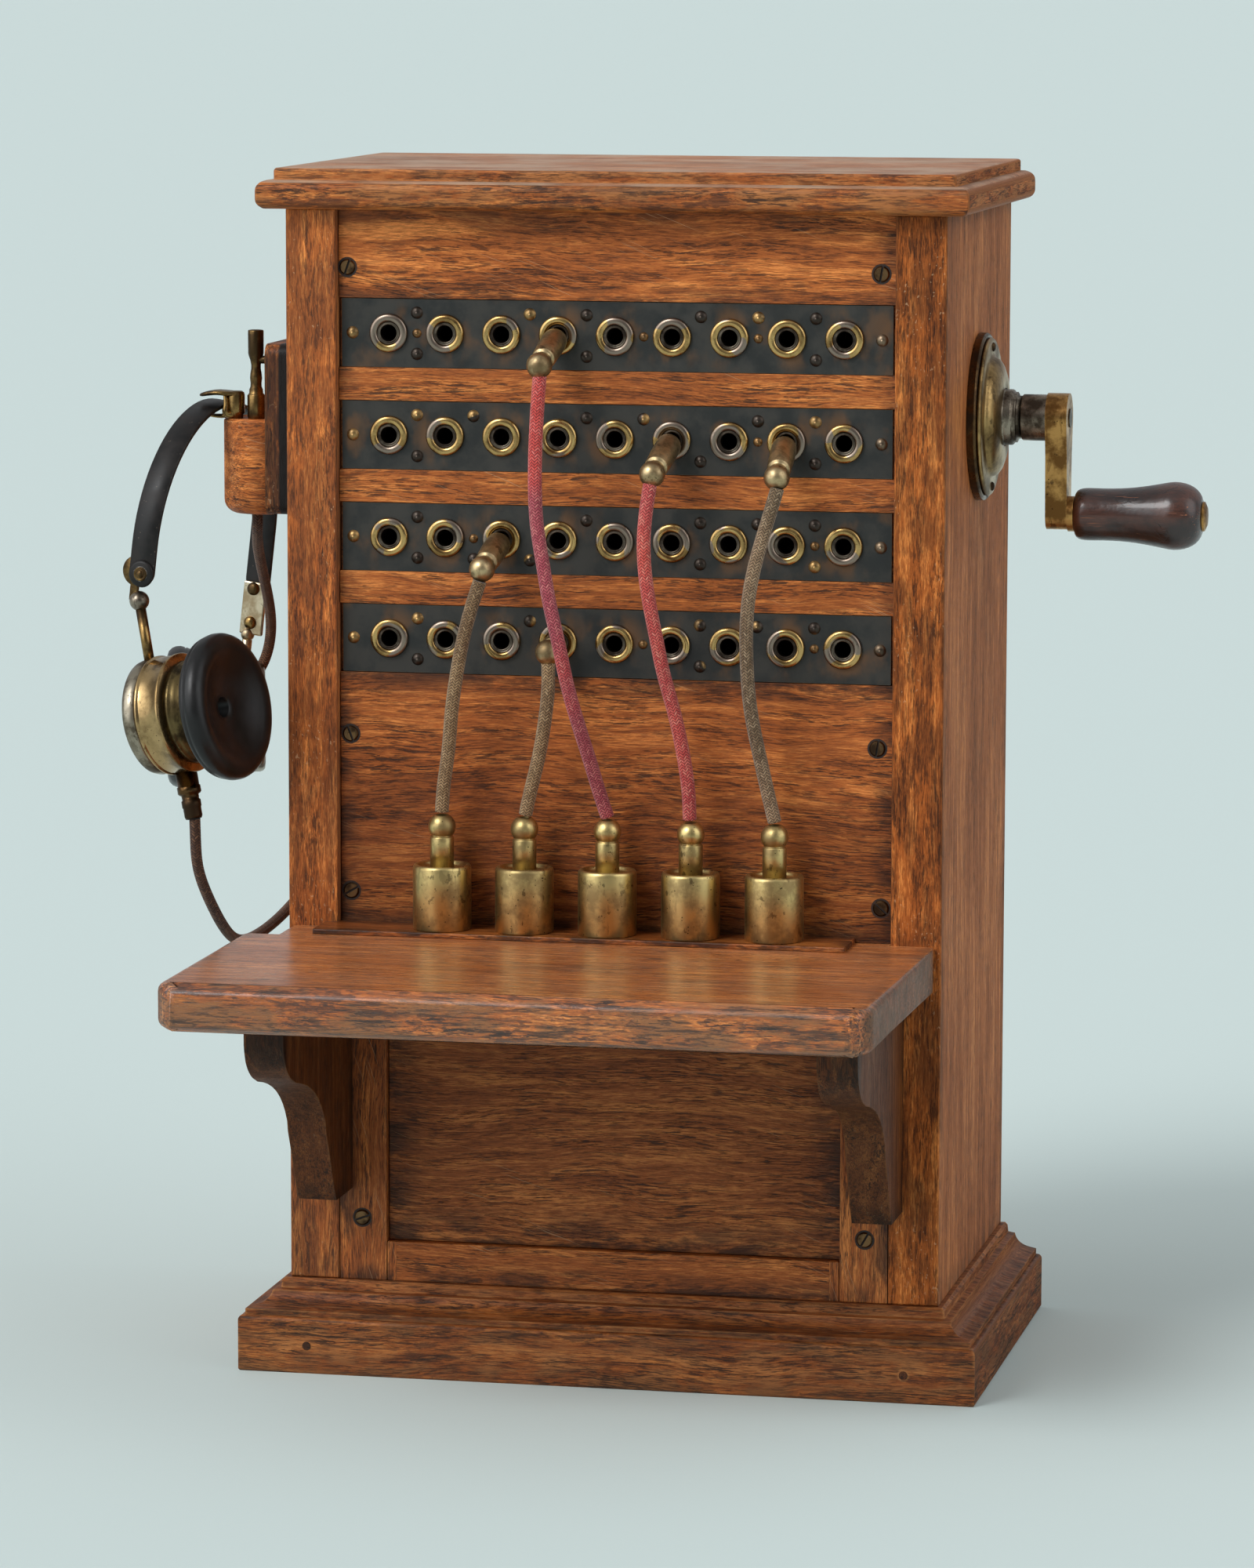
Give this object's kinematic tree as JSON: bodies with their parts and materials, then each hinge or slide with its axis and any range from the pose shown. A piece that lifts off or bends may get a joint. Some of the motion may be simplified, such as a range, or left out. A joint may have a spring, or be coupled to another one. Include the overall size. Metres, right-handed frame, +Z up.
{
  "type": "tabletop telephone switchboard",
  "caption": "Desk switchboard in oak: a jack field with patch cords over a shelf, a side crank with its generator, and a hung operator's headset.",
  "frame": {"origin": "centre of the base slab's underside", "axes": "+Z up, the jack field faces -Y, the crank is on the +X side and the headset on the -X side"},
  "size_m": [0.4616, 0.3494, 0.51],
  "materials": {
    "oak": "stained oak, satin varnish worn at the edges",
    "oak_dark": "dark end-grain pegs",
    "aged_brass": "aged, browned brass with bright worn highlights",
    "dark_brass": "dark patina",
    "blued_steel": "blue-black oxide with brown heat marks",
    "spring_silver": "dull nickel silver",
    "dark_steel": "dark, lightly pitted steel",
    "band_steel": "black japanned spring steel with bright edges",
    "magnet_paint": "red paint",
    "lacquered_wood": "dark red-brown lacquer, glossy and crazed",
    "hard_rubber": "black hard rubber, polished by use",
    "olive_braid": "braided cotton",
    "tan_braid": "braided cotton",
    "crimson_braid": "braided cotton",
    "red_braid": "braided cotton",
    "brown_braid": "braided cotton"
  },
  "bodies": {
    "cabinet": {"plinth": "oak", "wood_pegs": "oak_dark", "plinth_moulding": "oak", "cornice": "oak", "left_side": "oak", "right_side": "oak", "top_rail": "oak", "jack_board": "oak", "front_panel": "oak", "lower_frame": "oak", "lower_panel": "oak", "shelf": "oak", "shelf_brackets": "oak", "seat_strip": "oak", "back_rails": "oak", "door_hinges": "aged_brass", "wood_screws": "aged_brass", "jack_strips": "blued_steel", "jack_row_1": "aged_brass", "jack_row_2": "aged_brass", "jack_row_3": "aged_brass", "jack_row_4": "aged_brass", "strip_rivets": "aged_brass", "jack_springs": "spring_silver", "plug_seats": "aged_brass", "seat_stems": "aged_brass", "escutcheon_ring": "dark_brass", "escutcheon": "aged_brass", "generator_frame": "aged_brass", "generator_magnets": "magnet_paint", "hook_board": "oak", "hook_block": "oak", "hook_post": "aged_brass"},
    "door": {"back_door": "oak", "door_leaves": "aged_brass", "door_knob": "aged_brass"},
    "crank": {"crank_shaft": "dark_steel", "crank_arm": "aged_brass", "drive_gear": "aged_brass"},
    "grip": {"crank_grip": "lacquered_wood"},
    "armature_shaft": {"armature": "dark_steel"},
    "hook": {"headset_hook": "aged_brass"},
    "headset": {"headband": "band_steel", "band_fittings": "aged_brass", "headset_cord_1": "brown_braid", "headset_cord_2": "brown_braid"},
    "receiver_1": {"receiver_case_1": "aged_brass", "ear_cap_1": "hard_rubber"},
    "receiver_2": {"receiver_case_2": "aged_brass", "ear_cap_2": "hard_rubber"},
    "patch_1": {"plug_1": "aged_brass", "cord_1": "olive_braid"},
    "patch_2": {"plug_2": "aged_brass", "cord_2": "olive_braid"},
    "patch_3": {"plug_3": "aged_brass", "cord_3": "crimson_braid"},
    "patch_4": {"plug_4": "aged_brass", "cord_4": "red_braid"},
    "patch_5": {"plug_5": "aged_brass", "cord_5": "tan_braid"}
  },
  "joints": [
    {"name": "crank_turn", "type": "hinge", "parent": "cabinet", "child": "crank", "pos_m": [0.14, 0.00925, 0.4042], "axis": [1, 0, 0], "continuous": true},
    {"name": "grip_spin", "type": "hinge", "parent": "crank", "child": "grip", "pos_m": [0.2, 0.00925, 0.3636], "axis": [1, 0, 0], "continuous": true},
    {"name": "armature_spin", "type": "hinge", "parent": "cabinet", "child": "armature_shaft", "pos_m": [0.08, 0.00925, 0.3691], "axis": [1, 0, 0], "continuous": true},
    {"name": "door_swing", "type": "hinge", "parent": "cabinet", "child": "door", "pos_m": [-0.1185, 0.10095, 0.2654], "axis": [0, 0, 1], "range_deg": [0, 100]},
    {"name": "hook_switch", "type": "slide", "parent": "cabinet", "child": "hook", "axis": [0, 0, 1], "range_m": [0, 0.003], "stiffness_N_per_m": 300, "springref_m": 0.005},
    {"name": "headset_off", "type": "slide", "parent": "hook", "child": "headset", "axis": [-1, 0, 0], "range_m": [0, 0.03], "deforming": ["headset_cord_1", "headset_cord_2"]},
    {"name": "receiver_1_swivel", "type": "hinge", "parent": "headset", "child": "receiver_1", "pos_m": [-0.192, -0.10875, 0.3045], "axis": [0.2105, -0.1595, -0.9645], "range_deg": [-15, 15]},
    {"name": "receiver_2_swivel", "type": "hinge", "parent": "headset", "child": "receiver_2", "pos_m": [-0.183, 0.00925, 0.2915], "axis": [-0.1396, 0.1372, -0.9807], "range_deg": [-15, 15]},
    {"name": "plug_1_pull", "type": "slide", "parent": "cabinet", "child": "patch_1", "axis": [0, -1, 0], "range_m": [0, 0.024], "deforming": ["cord_1"]},
    {"name": "plug_2_pull", "type": "slide", "parent": "cabinet", "child": "patch_2", "axis": [0, -1, 0], "range_m": [0, 0.024], "deforming": ["cord_2"]},
    {"name": "plug_3_pull", "type": "slide", "parent": "cabinet", "child": "patch_3", "axis": [0, -1, 0], "range_m": [0, 0.024], "deforming": ["cord_3"]},
    {"name": "plug_4_pull", "type": "slide", "parent": "cabinet", "child": "patch_4", "axis": [0, -1, 0], "range_m": [0, 0.024], "deforming": ["cord_4"]},
    {"name": "plug_5_pull", "type": "slide", "parent": "cabinet", "child": "patch_5", "axis": [0, -1, 0], "range_m": [0, 0.024], "deforming": ["cord_5"]}
  ],
  "couplings": [
    {"joint": "armature_spin", "follows": "crank_turn", "ratio": -4}
  ]
}
